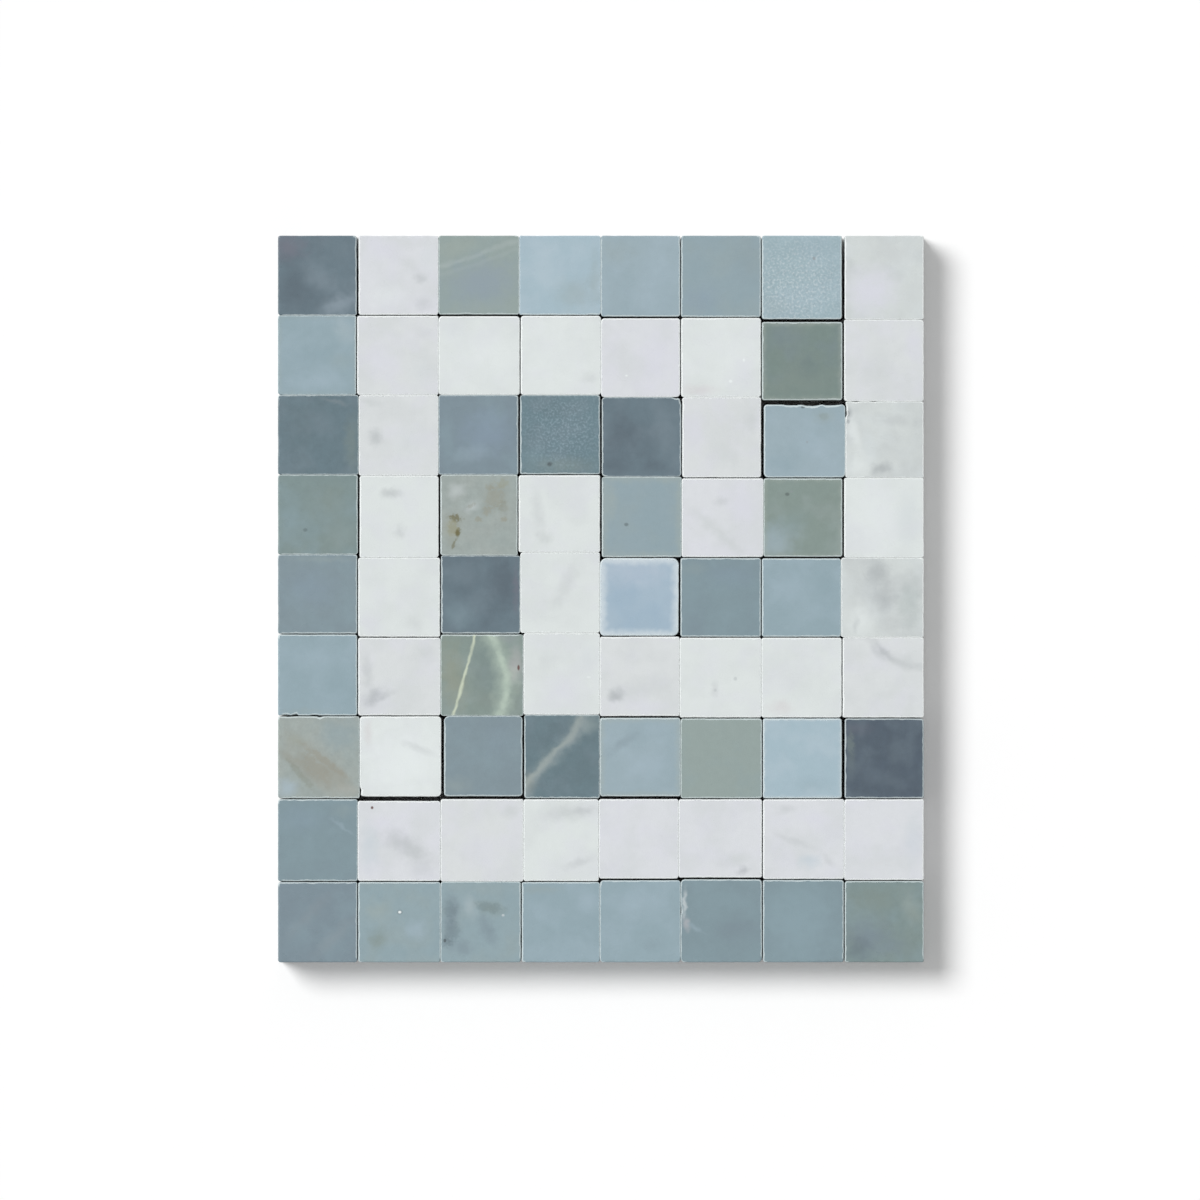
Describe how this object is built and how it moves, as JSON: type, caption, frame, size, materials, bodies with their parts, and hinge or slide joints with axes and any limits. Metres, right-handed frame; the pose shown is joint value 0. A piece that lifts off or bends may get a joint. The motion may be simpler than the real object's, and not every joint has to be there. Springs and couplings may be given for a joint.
{
  "type": "marble mosaic border corner tile",
  "caption": "Mosaic corner tile of a Greek key border: small square grey and white marble chips, tightly laid on a mesh, that turns a border round a corner of a floor or wall.",
  "frame": {"origin": "middle of the underside, under the middle of the tile's outline", "axes": "+X runs right along the bottom border, +Y runs up along the left border and is the longer side, +Z points out of the polished face"},
  "size_m": [0.122, 0.1372, 0.01],
  "materials": {
    "grey_marble": "polished blue-grey marble, each chip of its own shade",
    "white_marble": "polished white marble with faint grey clouds",
    "mesh": "woven glass-fibre mesh, white, resin coated"
  },
  "bodies": {
    "root": {"outer_line_left": "grey_marble", "outer_line_bottom": "grey_marble", "key_base": "grey_marble", "key_riser": "grey_marble", "key_hook": "grey_marble", "key_drop": "grey_marble", "key_step": "grey_marble", "key_rise": "grey_marble", "key_top": "grey_marble", "margin_left": "white_marble", "margin_bottom": "white_marble", "ground_right": "white_marble", "ground_base": "white_marble", "ground_pocket": "white_marble", "ground_top": "white_marble", "ground_drop": "white_marble", "backing_mesh": "mesh"}
  },
  "joints": []
}
